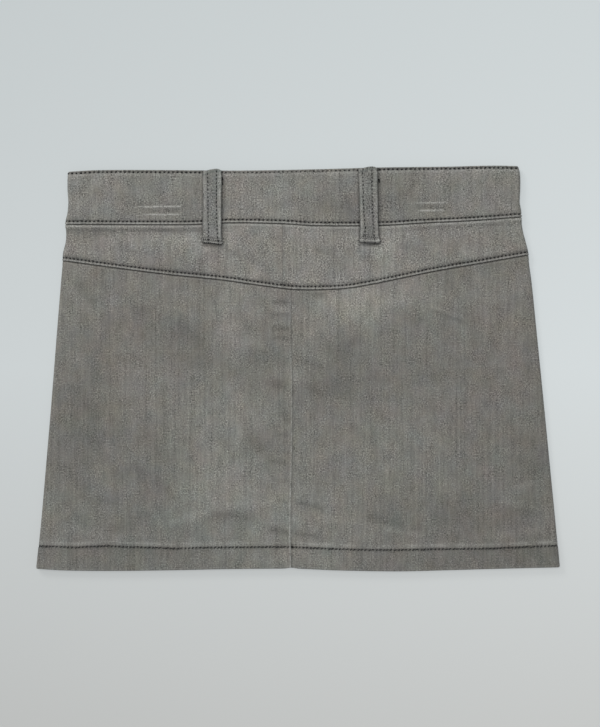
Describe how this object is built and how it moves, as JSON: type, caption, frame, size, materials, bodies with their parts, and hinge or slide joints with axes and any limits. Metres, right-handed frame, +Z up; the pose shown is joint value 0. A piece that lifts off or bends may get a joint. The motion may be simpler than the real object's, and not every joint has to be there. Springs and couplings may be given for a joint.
{
  "type": "denim skirt",
  "caption": "Low-rise denim mini skirt laid flat with its back up: plain waistband with belt loops, V-shaped back yoke, centre back seam and turned-up hem.",
  "frame": {"origin": "middle of the footprint on the surface that the skirt lies on", "axes": "+Z up, away from the surface and out of the skirt's back; +Y from the hem to the waist; +X to the wearer's right"},
  "size_m": [0.3926, 0.3048, 0.0095],
  "materials": {
    "denim": "washed warm grey stretch denim, matte, fine right-hand twill with vertical slubs",
    "topstitch_thread": "matte charcoal spun thread",
    "button_metal": "dull antiqued nickel"
  },
  "bodies": {
    "root": {"back_panel_left": "denim", "back_panel_right": "denim", "back_yoke_left": "denim", "back_yoke_right": "denim", "waistband_back": "denim", "waistband_front_left": "denim", "waistband_front_right": "denim", "front_panel_left": "denim", "front_panel_right": "denim", "belt_loop_back_left": "denim", "belt_loop_back_right": "denim", "belt_loop_front_left": "denim", "belt_loop_front_right": "denim", "button": "button_metal"}
  },
  "joints": []
}
